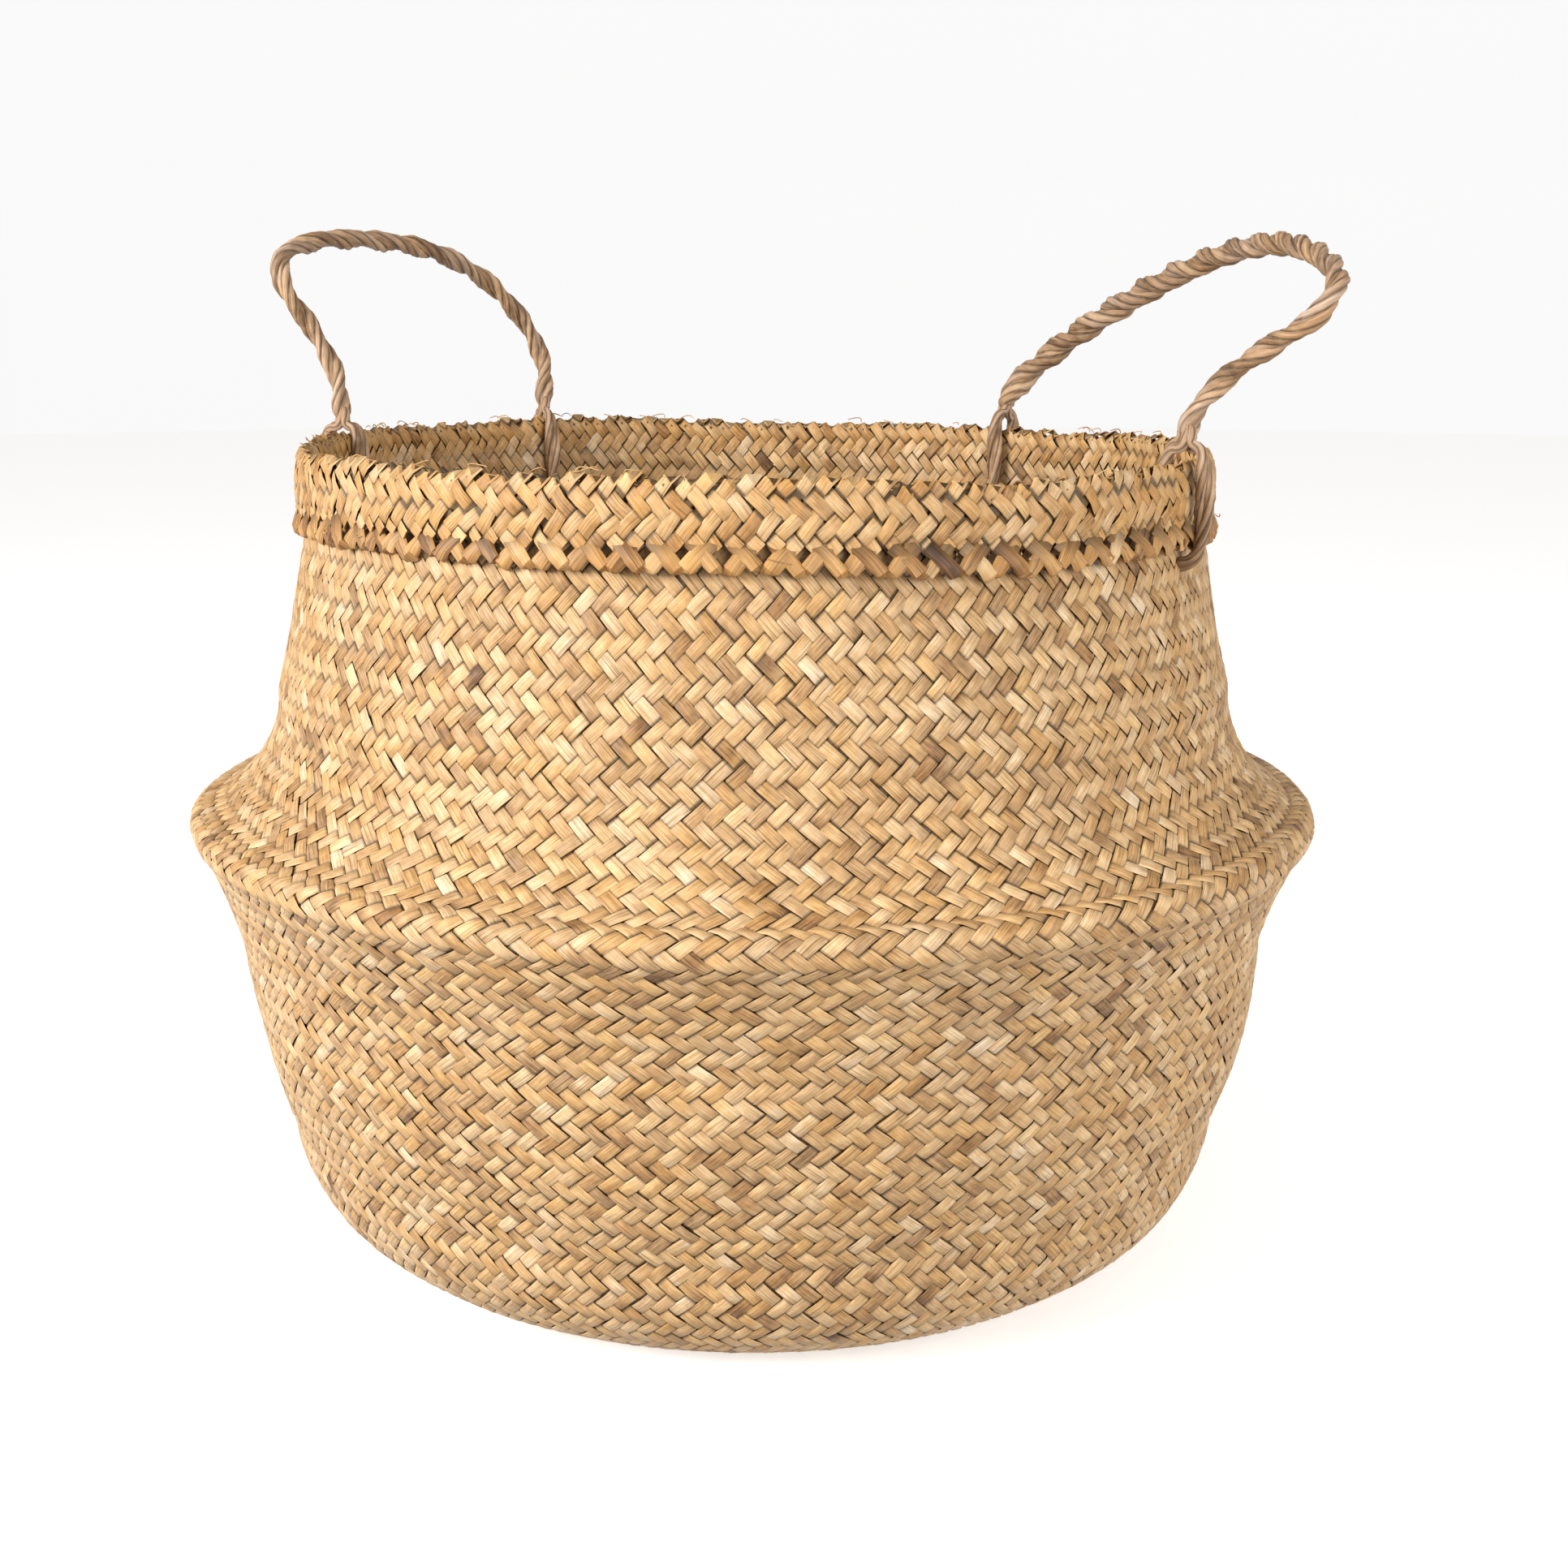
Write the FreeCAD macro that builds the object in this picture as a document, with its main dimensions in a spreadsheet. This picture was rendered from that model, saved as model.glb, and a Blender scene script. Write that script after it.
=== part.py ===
import FreeCAD, Part
import math
import os

import Sketcher

# A round storage basket of woven dry sedge: a flat base, a wide belly with a
# folded ridge at half height, a neck, a folded rim and two twisted-rope handles.
# Millimetres, +Z up. The origin is the centre of the underside of the base.

# --- driving dimensions ------------------------------------------------------

SIZES = {
    # the woven wall
    "wall": 2.8,
    "base_radius": 124,
    "base_thickness": 3,
    "corner_radius": 45,
    # outline of the outside, from the corner up
    "low_radius": 177.5,
    "low_height": 72,
    "mid_radius": 183.5,
    "mid_height": 112,
    "crease_radius": 196,
    "crease_height": 146.5,
    "low_bow": 260,
    "crease_bow": 140,
    "ridge_fold": 7.05,
    "ridge_inside_fold": 4.6,
    "ridge_top_radius": 191,
    "ridge_top_height": 159.5,
    "shoulder_radius": 168.6,
    "shoulder_height": 199,
    "shoulder_bow": 42,
    "neck_radius": 155.5,
    "neck_height": 257,
    "neck_bow": 700,
    "rim_height": 280,
    "wall_top": 276,
    "slip": 0.35,
    # the folded rim
    "cuff_radius": 158.3,
    "cuff_drop": 22,
    "cuff_round": 2.4,
    "ends_inner": 156.8,
    "ends_radius": 159.6,
    "ends_low": 253,
    "notch_width": 7,
    "notch_top": 256.5,
    # the strands that hold the handles to the rim
    "strand_radius": 2.1,
    "inner_leg_radius": 150.4,
    "outer_leg_radius": 162,
    "leg_foot": 251,
    "leg_head": 276.8,
    "leg_hole_radius": 2.4,
    # the rope handles
    "rope_radius": 3.75,
    "hinge_height": 289,
    "left_lean": 20,
    "right_lean": 40,
}
NOTCHES = 88

# Where each handle meets the rim, as angles about the basket's axis, and the
# route of its rope in the plane of its loop, as (along the chord, up the lean),
# from the first end; the route then runs on to the second end.
HANDLES = {
    "left": {
        "ends": (167, 124),
        "route": [(0, 0), (3, 15), (-3, 32), (-12, 48), (-8, 60), (14, 66),
                  (44, 66.5), (76, 63), (102, 51), (118, 32), (122, 14)],
    },
    "right": {
        "ends": (49, -29),
        "route": [(0, 0), (0, 14), (16, 32), (43, 49), (73, 63), (106, 73),
                  (142, 77), (176, 73), (206, 65), (222, 57), (224, 44), (208, 34),
                  (196, 23), (191, 12)],
    },
}
ARC_SHARE = 0.45  # the share of the shorter run that an arc takes at each end

doc = FreeCAD.newDocument("basket")
sheet = doc.addObject("Spreadsheet::Sheet", "Sizes")
for row, (name, size) in enumerate(SIZES.items(), start=1):
    sheet.set(f"A{row}", name)
    sheet.set(f"B{row}", str(size))
    sheet.setAlias(f"B{row}", name)
doc.recompute()

nodes = []


def number(formula):
    """The value of a sum of sizes, such as "rim_height - cuff_drop"."""
    total, sign = 0.0, 1
    for word in formula.split():
        if word in "+-":
            sign = 1 if word == "+" else -1
        else:
            total += sign * SIZES[word]
    return total


def bound(formula):
    """The same sum as an expression on the sheet's cells."""
    return " ".join(word if word in "+-" else f"Sizes.{word}" for word in formula.split())


def keep(thing, label):
    """Names a finished sub-part, so that it is checked and exported."""
    thing.Label = label
    nodes.append(thing)
    return thing


# --- sketches ----------------------------------------------------------------


def new_body(name):
    return doc.addObject("PartDesign::Body", name)


def new_sketch(body, name, role):
    """A sketch on one of the body's own origin planes."""
    sketch = body.newObject("Sketcher::SketchObject", name)
    plane = next(f for f in body.Origin.OriginFeatures if f.Role == role)
    sketch.AttachmentSupport = (plane, "")
    sketch.MapMode = "FlatFace"
    return sketch


def bind(sketch, kind, *places, formula):
    """Adds a dimension to a sketch and binds it to the sheet."""
    index = sketch.addConstraint(Sketcher.Constraint(kind, *places, number(formula)))
    sketch.setExpression(f"Constraints[{index}]", bound(formula))


def arc_between(start, end, radius, left):
    """The short arc of that radius from start to end, and whether it runs backwards."""
    a, b = FreeCAD.Vector(*start, 0), FreeCAD.Vector(*end, 0)
    chord = b - a
    rise = math.sqrt(radius**2 - (chord.Length / 2) ** 2)
    side = FreeCAD.Vector(-chord.y, chord.x, 0).normalize() * (rise if left else -rise)
    centre = (a + b) / 2 + side
    first, last = a - centre, b - centre
    angles = [math.atan2(first.y, first.x), math.atan2(last.y, last.x)]
    if not left:
        angles.reverse()
    circle = Part.Circle(centre, FreeCAD.Vector(0, 0, 1), radius)
    return Part.ArcOfCircle(circle, *angles), not left


def outline(sketch, corners, bows=None):
    """A closed outline through corners, each a (radius, height) pair of sums.

    bows maps the index of a corner to (radius, left): the edge after that corner
    is an arc of that radius whose centre lies to the left or right of it.
    """
    bows = bows or {}
    points = [tuple(number(f) if f else 0.0 for f in corner) for corner in corners]
    edges, reversed_edges = [], []
    for i, start in enumerate(points):
        end = points[(i + 1) % len(points)]
        if i in bows:
            radius, left = bows[i]
            shape, backwards = arc_between(start, end, number(radius), left)
        else:
            shape = Part.LineSegment(FreeCAD.Vector(*start, 0), FreeCAD.Vector(*end, 0))
            backwards = False
        edges.append(sketch.addGeometry(shape))
        reversed_edges.append(backwards)
    for i, corner in enumerate(corners):
        head = 2 if reversed_edges[i] else 1
        tail = 1 if reversed_edges[i - 1] else 2
        sketch.addConstraint(Sketcher.Constraint("Coincident", edges[i - 1], tail, edges[i], head))
        for formula, kind, axis in zip(corner, ("DistanceX", "DistanceY"), (-2, -1)):
            if formula:
                bind(sketch, kind, -1, 1, edges[i], head, formula=formula)
            else:
                sketch.addConstraint(Sketcher.Constraint("PointOnObject", edges[i], head, axis))
        if i in bows:
            bind(sketch, "Radius", edges[i], formula=bows[i][0])


def turned(name, corners, bows=None):
    """A body turned about Z from an outline of radii and heights."""
    body = new_body(name)
    sketch = new_sketch(body, name + "_outline", "XZ_Plane")
    outline(sketch, corners, bows)
    turn = body.newObject("PartDesign::Revolution", name + "_turn")
    turn.Profile = sketch
    turn.ReferenceAxis = (sketch, ["V_Axis"])
    turn.Angle = 360
    sketch.Visibility = False
    doc.recompute()
    return body


# --- the woven wall, from the floor up -----------------------------------------


def make_wall():
    """The base, the corner, the lower wall, the ridge and the shoulder."""
    keep(turned("base_disc", [
        ("", ""),
        ("base_radius", ""),
        ("base_radius", "base_thickness"),
        ("", "base_thickness"),
    ]), "woven_base")
    keep(turned("corner_ring", [
        ("base_radius", ""),
        ("base_radius + corner_radius", "corner_radius"),
        ("base_radius + corner_radius - wall", "corner_radius"),
        ("base_radius", "wall"),
    ], {0: ("corner_radius", True), 2: ("corner_radius - wall", False)}), "base_curve")
    keep(turned("lower_ring", [
        ("base_radius + corner_radius", "corner_radius"),
        ("low_radius", "low_height"),
        ("mid_radius", "mid_height"),
        ("crease_radius", "crease_height"),
        ("crease_radius - wall", "crease_height"),
        ("mid_radius - wall", "mid_height"),
        ("low_radius - wall", "low_height"),
        ("base_radius + corner_radius - wall", "corner_radius"),
    ], {
        0: ("low_bow", True), 1: ("low_bow", True), 2: ("crease_bow", False),
        4: ("crease_bow", True), 5: ("low_bow", False), 6: ("low_bow", False),
    }), "lower_wall")
    keep(turned("ridge_ring", [
        ("crease_radius", "crease_height"),
        ("ridge_top_radius", "ridge_top_height"),
        ("ridge_top_radius - wall", "ridge_top_height"),
        ("ridge_top_radius - wall", "ridge_top_height - wall"),
        ("ridge_top_radius", "ridge_top_height - wall"),
        ("crease_radius", "crease_height + wall"),
        ("crease_radius - wall", "crease_height + wall"),
        ("crease_radius - wall", "crease_height"),
    ], {0: ("ridge_fold", True), 4: ("ridge_inside_fold", False)}), "belly_ridge")
    keep(turned("shoulder_ring", [
        ("ridge_top_radius", "ridge_top_height"),
        ("shoulder_radius", "shoulder_height"),
        ("shoulder_radius - wall", "shoulder_height"),
        ("ridge_top_radius - wall", "ridge_top_height"),
    ], {0: ("shoulder_bow", False), 2: ("shoulder_bow", True)}), "shoulder")


def leg_reach():
    """Half the distance between a leg's inner and outer runs."""
    return (SIZES["outer_leg_radius"] - SIZES["inner_leg_radius"]) / 2


def make_upper_wall():
    """The neck's wall, with a hole under each of the four handle ends."""
    neck = turned("neck_ring", [
        ("shoulder_radius", "shoulder_height + slip"),
        ("neck_radius", "neck_height"),
        ("neck_radius", "wall_top"),
        ("neck_radius - wall", "wall_top"),
        ("neck_radius - wall", "neck_height"),
        ("shoulder_radius - wall", "shoulder_height + slip"),
    ], {0: ("neck_bow", False), 4: ("neck_bow", True)})
    drills = []
    for name, handle in HANDLES.items():
        for end, angle in enumerate(handle["ends"]):
            drill = doc.addObject("Part::Cylinder", f"{name}_drill_{end}")
            drill.setExpression("Radius", bound("leg_hole_radius"))
            drill.setExpression("Height", bound("outer_leg_radius"))
            height = SIZES["leg_foot"] - leg_reach()
            across = FreeCAD.Rotation(FreeCAD.Vector(0, 1, 0), 90)
            about = FreeCAD.Rotation(FreeCAD.Vector(0, 0, 1), angle)
            drill.Placement = FreeCAD.Placement(FreeCAD.Vector(0, 0, height), about * across)
            drills.append(drill)
    drilled = doc.addObject("Part::MultiFuse", "drills")
    drilled.Shapes = drills
    wall = doc.addObject("Part::Cut", "neck_with_holes")
    wall.Base = neck
    wall.Tool = drilled
    keep(wall, "upper_wall")


def make_cuff():
    """The rim, folded outwards and down over the top of the wall."""
    keep(turned("cuff_ring", [
        ("neck_radius", "rim_height - cuff_drop"),
        ("cuff_radius", "rim_height - cuff_drop"),
        ("cuff_radius", "rim_height - cuff_round"),
        ("cuff_radius - cuff_round", "rim_height"),
        ("neck_radius - wall + cuff_round", "rim_height"),
        ("neck_radius - wall", "rim_height - cuff_round"),
        ("neck_radius - wall", "wall_top"),
        ("neck_radius", "wall_top"),
    ], {2: ("cuff_round", True), 4: ("cuff_round", True)}), "rim_cuff")


def make_turned_ends():
    """The row of turned-back strip ends under the cuff: a ring with a toothed lower edge."""
    inner, outer = SIZES["ends_inner"], SIZES["ends_radius"]
    low, high = SIZES["ends_low"], number("rim_height - cuff_drop")
    half, top = SIZES["notch_width"] / 2, SIZES["notch_top"]
    floor = FreeCAD.Vector(0, 0, low)
    ring = Part.makeCylinder(outer, high - low, floor).cut(Part.makeCylinder(inner, high - low, floor))
    below = low - 1
    corners = [(-half, below), (half, below), (0, top), (-half, below)]
    face = Part.Face(Part.makePolygon([FreeCAD.Vector(inner - 1, y, z) for y, z in corners]))
    notch = face.extrude(FreeCAD.Vector(outer - inner + 2, 0, 0))
    notches = []
    for i in range(NOTCHES):
        copy = notch.copy()
        copy.rotate(FreeCAD.Vector(), FreeCAD.Vector(0, 0, 1), 360 * i / NOTCHES)
        notches.append(copy)
    whole = ring.Volume
    ring = ring.cut(Part.makeCompound(notches))
    print(f"the notches take {whole - ring.Volume:.0f} of {whole:.0f} mm3")
    ends = doc.addObject("Part::Feature", "turned_ends")
    ends.Shape = ring
    keep(ends, "cuff_turned_ends")


# --- the handles -----------------------------------------------------------------


def make_leg(label, angle):
    """One closed loop of strand round the rim: down inside, through the wall, up outside."""
    inner, outer = SIZES["inner_leg_radius"], SIZES["outer_leg_radius"]
    foot, head = SIZES["leg_foot"], SIZES["leg_head"]
    middle, reach = (inner + outer) / 2, leg_reach()
    corners = [(inner, foot), (inner, head), (outer, head), (outer, foot)]
    a, b, c, d = [FreeCAD.Vector(x, 0, z) for x, z in corners]
    crown = FreeCAD.Vector(middle, 0, head + reach)
    heel = FreeCAD.Vector(middle, 0, foot - reach)
    halves = [
        [Part.LineSegment(a, b), Part.Arc(b, crown, c)],
        [Part.LineSegment(c, d), Part.Arc(d, heel, a)],
    ]
    pipes = []
    for half in halves:
        wire = Part.Wire([edge.toShape() for edge in half])
        start = wire.Vertexes[0].Point
        section = Part.Wire(Part.makeCircle(SIZES["strand_radius"], start, FreeCAD.Vector(0, 0, 1)))
        pipes.append(wire.makePipeShell([section], True, False))
    leg = doc.addObject("Part::Feature", label)
    leg.Shape = pipes[0].fuse(pipes[1])
    leg.Placement = FreeCAD.Placement(FreeCAD.Vector(), FreeCAD.Vector(0, 0, 1), angle)
    length = 2 * (head - foot) + 2 * math.pi * reach
    report_pipe(label, leg.Shape.Volume, SIZES["strand_radius"], length)
    keep(leg, label)


def report_pipe(label, volume, radius, length):
    """Prints a pipe's volume beside its section times its length."""
    expected = math.pi * radius**2 * length
    print(f"{label}: length {length:.1f} mm, volume {volume:.0f}, section x length {expected:.0f}")


def rounded_route(points):
    """Straight runs joined by tangent arcs, the arcs' radii, and the whole length."""
    edges, radii = [], []
    here = points[0]
    for before, corner, after in zip(points, points[1:], points[2:]):
        back, ahead = before - corner, after - corner
        turn = math.pi - back.getAngle(ahead)
        trim = ARC_SHARE * min(back.Length, ahead.Length)
        radii.append(trim / math.tan(turn / 2))
        start = corner + back.normalize() * trim
        end = corner + ahead.normalize() * trim
        inward = (start + end) / 2 - corner
        sagitta = radii[-1] / math.cos(turn / 2) - radii[-1]
        middle = corner + inward.normalize() * sagitta
        edges += [Part.LineSegment(here, start).toShape(), Part.Arc(start, middle, end).toShape()]
        here = end
    edges.append(Part.LineSegment(here, points[-1]).toShape())
    return Part.Wire(edges), radii


def make_rope(name, handle):
    """A rope handle: a tube along its route, rounded at both ends where it hinges."""
    hinge = (SIZES["inner_leg_radius"] + SIZES["outer_leg_radius"]) / 2
    spin = [math.radians(angle) for angle in handle["ends"]]
    first, last = [
        FreeCAD.Vector(hinge * math.cos(t), hinge * math.sin(t), SIZES["hinge_height"]) for t in spin
    ]
    along = (last - first).normalize()
    outward = along.cross(FreeCAD.Vector(0, 0, 1))
    if outward.dot(first) < 0:
        outward = -outward
    lean = math.radians(SIZES[name + "_lean"])
    up = FreeCAD.Vector(0, 0, 1) * math.cos(lean) + outward * math.sin(lean)
    points = [first + along * u + up * v for u, v in handle["route"]] + [last]
    wire, radii = rounded_route(points)
    print(f"{name} rope: arc radii", [round(r, 1) for r in radii])
    radius = SIZES["rope_radius"]
    section = Part.Wire(Part.makeCircle(radius, points[0], points[1] - points[0]))
    tube = wire.makePipeShell([section], True, False)
    report_pipe(name + "_rope", tube.Volume, radius, wire.Length)
    for end in (points[0], points[-1]):
        tube = tube.fuse(Part.makeSphere(radius, end))
    rope = doc.addObject("Part::Feature", name + "_rope")
    rope.Shape = tube
    print(f"{name} hinge: {first} to {last}")
    keep(rope, name + "_rope")


make_wall()
make_upper_wall()
make_cuff()
make_turned_ends()
for side, parts in HANDLES.items():
    for place, turn_angle in zip(("first", "second"), parts["ends"]):
        make_leg(f"{side}_{place}_leg", turn_angle)
    make_rope(side, parts)
doc.recompute()

# --- checks and export -----------------------------------------------------------

for thing in doc.Objects:
    if "Invalid" in thing.State or "Error" in thing.State:
        raise RuntimeError(f"{thing.Name} failed: {thing.State}")
for node in nodes:
    if node.Shape.isNull() or not node.Shape.isValid() or len(node.Shape.Solids) != 1:
        raise RuntimeError(f"{node.Label} is not one valid solid")

os.makedirs("parts", exist_ok=True)
for node in nodes:
    node.Shape.exportStep(f"parts/{node.Label}.step")
    box = node.Shape.BoundBox
    print(f"{node.Label}: {box.XLength:.1f} x {box.YLength:.1f} x {box.ZLength:.1f} mm,"
          f" z {box.ZMin:.1f} to {box.ZMax:.1f}, {node.Shape.Volume / 1000:.1f} cm3")
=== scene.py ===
"""The looks of the woven sedge basket: every strip of its weave, its rim and its rope handles."""

import math

import bpy
import numpy as np
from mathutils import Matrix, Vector


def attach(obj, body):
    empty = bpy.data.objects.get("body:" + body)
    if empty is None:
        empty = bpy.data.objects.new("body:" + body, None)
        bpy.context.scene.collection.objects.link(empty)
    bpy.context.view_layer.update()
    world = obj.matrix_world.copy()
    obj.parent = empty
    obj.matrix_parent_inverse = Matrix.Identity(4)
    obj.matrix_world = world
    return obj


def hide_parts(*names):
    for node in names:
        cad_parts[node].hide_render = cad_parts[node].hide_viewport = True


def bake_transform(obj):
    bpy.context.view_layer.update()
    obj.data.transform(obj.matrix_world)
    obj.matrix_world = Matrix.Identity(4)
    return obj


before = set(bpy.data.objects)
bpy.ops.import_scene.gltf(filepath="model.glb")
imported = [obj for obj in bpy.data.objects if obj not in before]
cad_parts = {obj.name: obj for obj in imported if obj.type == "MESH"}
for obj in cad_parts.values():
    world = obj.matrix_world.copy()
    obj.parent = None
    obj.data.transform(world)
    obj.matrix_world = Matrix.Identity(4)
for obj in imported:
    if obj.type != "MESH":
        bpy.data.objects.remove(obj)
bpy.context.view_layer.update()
rng = np.random.default_rng(7)
MM = 0.001

# --- the weave's own numbers, in millimetres ------------------------------------------

STRIPS = 176            # strips in each of the two families
STRIP_WIDTH = 4.15      # spacing of neighbouring strips, across them
HALF_COVER = 0.50       # half a strip's width as a share of that spacing
STRIP_THICKNESS = 0.5
LIFT = 0.62             # how far a strip stands off the middle of the wall where it floats
ARCH = 0.13             # how far a strip's middle bulges above its edges
INSET = 1.3             # from the wall's outer face to the middle of the weave
MAT_MIDDLE = 1.25       # height of the middle of the base's weave
MAT_UNDER_CORNER = 3    # how far the base's weave runs on into the corner's
STATION_LENGTH = 4.2    # length along a strip from one crossing to the next, for its grain
STEEPEST_SINE = 0.985   # the strips never run closer to straight round than this
LAY_APART = 7.3         # keeps the grain of neighbouring strips apart

# The six points of a strip's section: how far across it, and on its edge, top or underside.
STRIP_ACROSS = np.array([-1.0, -0.72, 0.72, 1.0, 0.94, -0.94])
STRIP_SIDE = np.array([0.0, 1.0, 1.0, 0.0, -1.0, -1.0])
SECTION_HEIGHT = np.where(STRIP_SIDE > 0, STRIP_THICKNESS / 2 + ARCH,
                          STRIP_SIDE * STRIP_THICKNESS / 2)

# Where a strip's sections stand, counted in crossings along one float over two strips.
FLOAT_STATIONS = np.array([-0.5, -0.32, 0.5, 1.32])

# --- the outline of the wall, as the CAD has it ----------------------------------------

BASE_RADIUS, CORNER = 124, 45
BELLY_MIDDLE, RIDGE_FOOT, RIDGE_TOP = 96, 146.5, 159.5
SHOULDER_TOP, NECK_MIDDLE, RIM_FOOT = 199, 234, 268
RIM_HEIGHT, WALL_FACE, CUFF_FACE, CUFF_FOOT = 280, 155.5, 158.3, 257
CUFF_INSET = 0.9        # from the cuff's outer face to the middle of its weave
CUFF_BULGE = 0.9        # how far the cuff bows out between the rim and its foot
FOLD_DEPTH = 1.2        # from the rim's top to the middle of the weave where it folds over
SMOOTHING = 4           # how many points to each side are averaged, to round the corners
OUTLINE = [  # (radius, height) of each corner and (radius, side) of the arc that leads to it
    ((BASE_RADIUS + CORNER, CORNER), None), ((177.5, 72), (260, 1)), ((183.5, 112), (260, 1)),
    ((196, RIDGE_FOOT), (140, -1)), ((191, RIDGE_TOP), (7.05, 1)),
    ((168.6, SHOULDER_TOP), (42, -1)), ((WALL_FACE, CUFF_FOOT), (700, -1)),
]


def arc_points(start, end, radius, side):
    """Points on the short arc from start to end, whose centre is on the left for side 1."""
    start, end = np.array(start, float), np.array(end, float)
    chord = end - start
    length = math.hypot(*chord)
    rise = math.sqrt(radius**2 - length**2 / 4)
    centre = (start + end) / 2 + side * rise * np.array([-chord[1], chord[0]]) / length
    first = math.atan2(*(start - centre)[::-1])
    turn = 2 * math.asin(length / 2 / radius) * side
    angles = first + np.linspace(0, turn, 40)[1:]
    return centre + radius * np.column_stack([np.cos(angles), np.sin(angles)])


def wall_profile():
    """Arc length, radius, height and normal of the middle of the weave, floor to cuff."""
    outer = [np.array([[BASE_RADIUS - 4, 0], [BASE_RADIUS, 0]], float)]
    outer.append(arc_points((BASE_RADIUS, 0), (BASE_RADIUS + CORNER, CORNER), CORNER, 1))
    here = OUTLINE[0][0]
    for corner, bow in OUTLINE[1:]:
        outer.append(arc_points(here, corner, *bow))
        here = corner
    behind_cuff = np.linspace(CUFF_FOOT + 1.5, RIM_HEIGHT - 4.5, 12)
    outer.append(np.column_stack([np.full(12, WALL_FACE), behind_cuff]))
    outer = np.vstack(outer)
    step = np.gradient(outer, axis=0)
    step /= np.linalg.norm(step, axis=1)[:, None]
    middle = outer - INSET * np.column_stack([step[:, 1], -step[:, 0]])
    cuff_middle = CUFF_FACE - CUFF_INSET
    inner_middle = WALL_FACE - INSET
    fold = (cuff_middle - inner_middle) / 2
    fold_height = RIM_HEIGHT - FOLD_DEPTH - fold
    turn = np.linspace(math.pi, 0, 14)
    over = np.column_stack([inner_middle + fold + fold * np.cos(turn),
                            fold_height + fold * np.sin(turn)])
    down = np.linspace(0, 1, 14)[1:]
    cuff = np.column_stack([cuff_middle + CUFF_BULGE * np.sin(math.pi * down),
                            fold_height - (fold_height - CUFF_FOOT) * down])
    line = np.vstack([middle, over, cuff])
    length = np.concatenate([[0], np.cumsum(np.linalg.norm(np.diff(line, axis=0), axis=1))])
    fine = np.linspace(0, length[-1], 1400)
    line = np.column_stack([np.interp(fine, length, line[:, i]) for i in (0, 1)])
    kernel = np.ones(2 * SMOOTHING + 1) / (2 * SMOOTHING + 1)
    padded = np.vstack([np.repeat(line[:1], SMOOTHING, 0), line,
                        np.repeat(line[-1:], SMOOTHING, 0)])
    line = np.column_stack([np.convolve(padded[:, i], kernel, "valid") for i in (0, 1)])
    step = np.gradient(line, axis=0)
    step /= np.linalg.norm(step, axis=1)[:, None]
    return fine, line[:, 0], line[:, 1], step[:, 1], -step[:, 0]


RUN, RADIUS, HEIGHT, NORMAL_R, NORMAL_Z = wall_profile()
SLOPE_SINE = np.minimum(STEEPEST_SINE, STRIP_WIDTH * STRIPS / (2 * math.pi * RADIUS))
TURN_RATE = np.sqrt(1 - SLOPE_SINE**2) / SLOPE_SINE / RADIUS
TURN = np.concatenate([[0], np.cumsum((TURN_RATE[1:] + TURN_RATE[:-1]) / 2 * np.diff(RUN))])
TOP_RUN = RUN[np.argmax(HEIGHT)]


def row_at(height, folded=False):
    """The row of crossings at that height on the wall, or on the folded cuff."""
    half = RUN > TOP_RUN if folded else RUN <= TOP_RUN
    run = RUN[half][np.argmin(np.abs(HEIGHT[half] - height))]
    row = np.interp(run, RUN, TURN) * STRIPS / math.pi
    return 2 * round((row - 0.5) / 2) + 0.5


def unevenness(angle, height):
    """How far the wall stands proud of a perfect round, in millimetres."""
    slow = 0.9 * np.sin(2 * angle + 0.6) + 0.6 * np.sin(3 * angle + 0.02 * height + 2)
    quick = 0.35 * np.sin(9 * angle + 0.06 * height) + 0.3 * np.sin(14 * angle - 0.09 * height + 1)
    return (slow + quick) * np.clip(height / 40, 0, 1)


def rim_wave(angle):
    """How far the top of the wall waves and tilts up or down, in millimetres."""
    return 0.9 * np.sin(3 * angle + 1) + 0.6 * np.sin(7 * angle) - 1.6 * np.cos(angle)


def on_wall(row, angle, off, facing):
    """Points of the wall by row and angle, that far off the middle of the weave."""
    turn = row * math.pi / STRIPS
    run = np.interp(turn, TURN, RUN)
    radius, height = np.interp(run, RUN, RADIUS), np.interp(run, RUN, HEIGHT)
    nr, nz = np.interp(run, RUN, NORMAL_R), np.interp(run, RUN, NORMAL_Z)
    radius = radius + nr * off * facing
    radius = radius + unevenness(angle, height)
    height = height + nz * off * facing
    height = height + rim_wave(angle) * np.clip((height - 200) / 80, 0, 1)
    return np.stack([radius * np.cos(angle), radius * np.sin(angle), height], -1) * MM


# --- meshes of strips --------------------------------------------------------------


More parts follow.
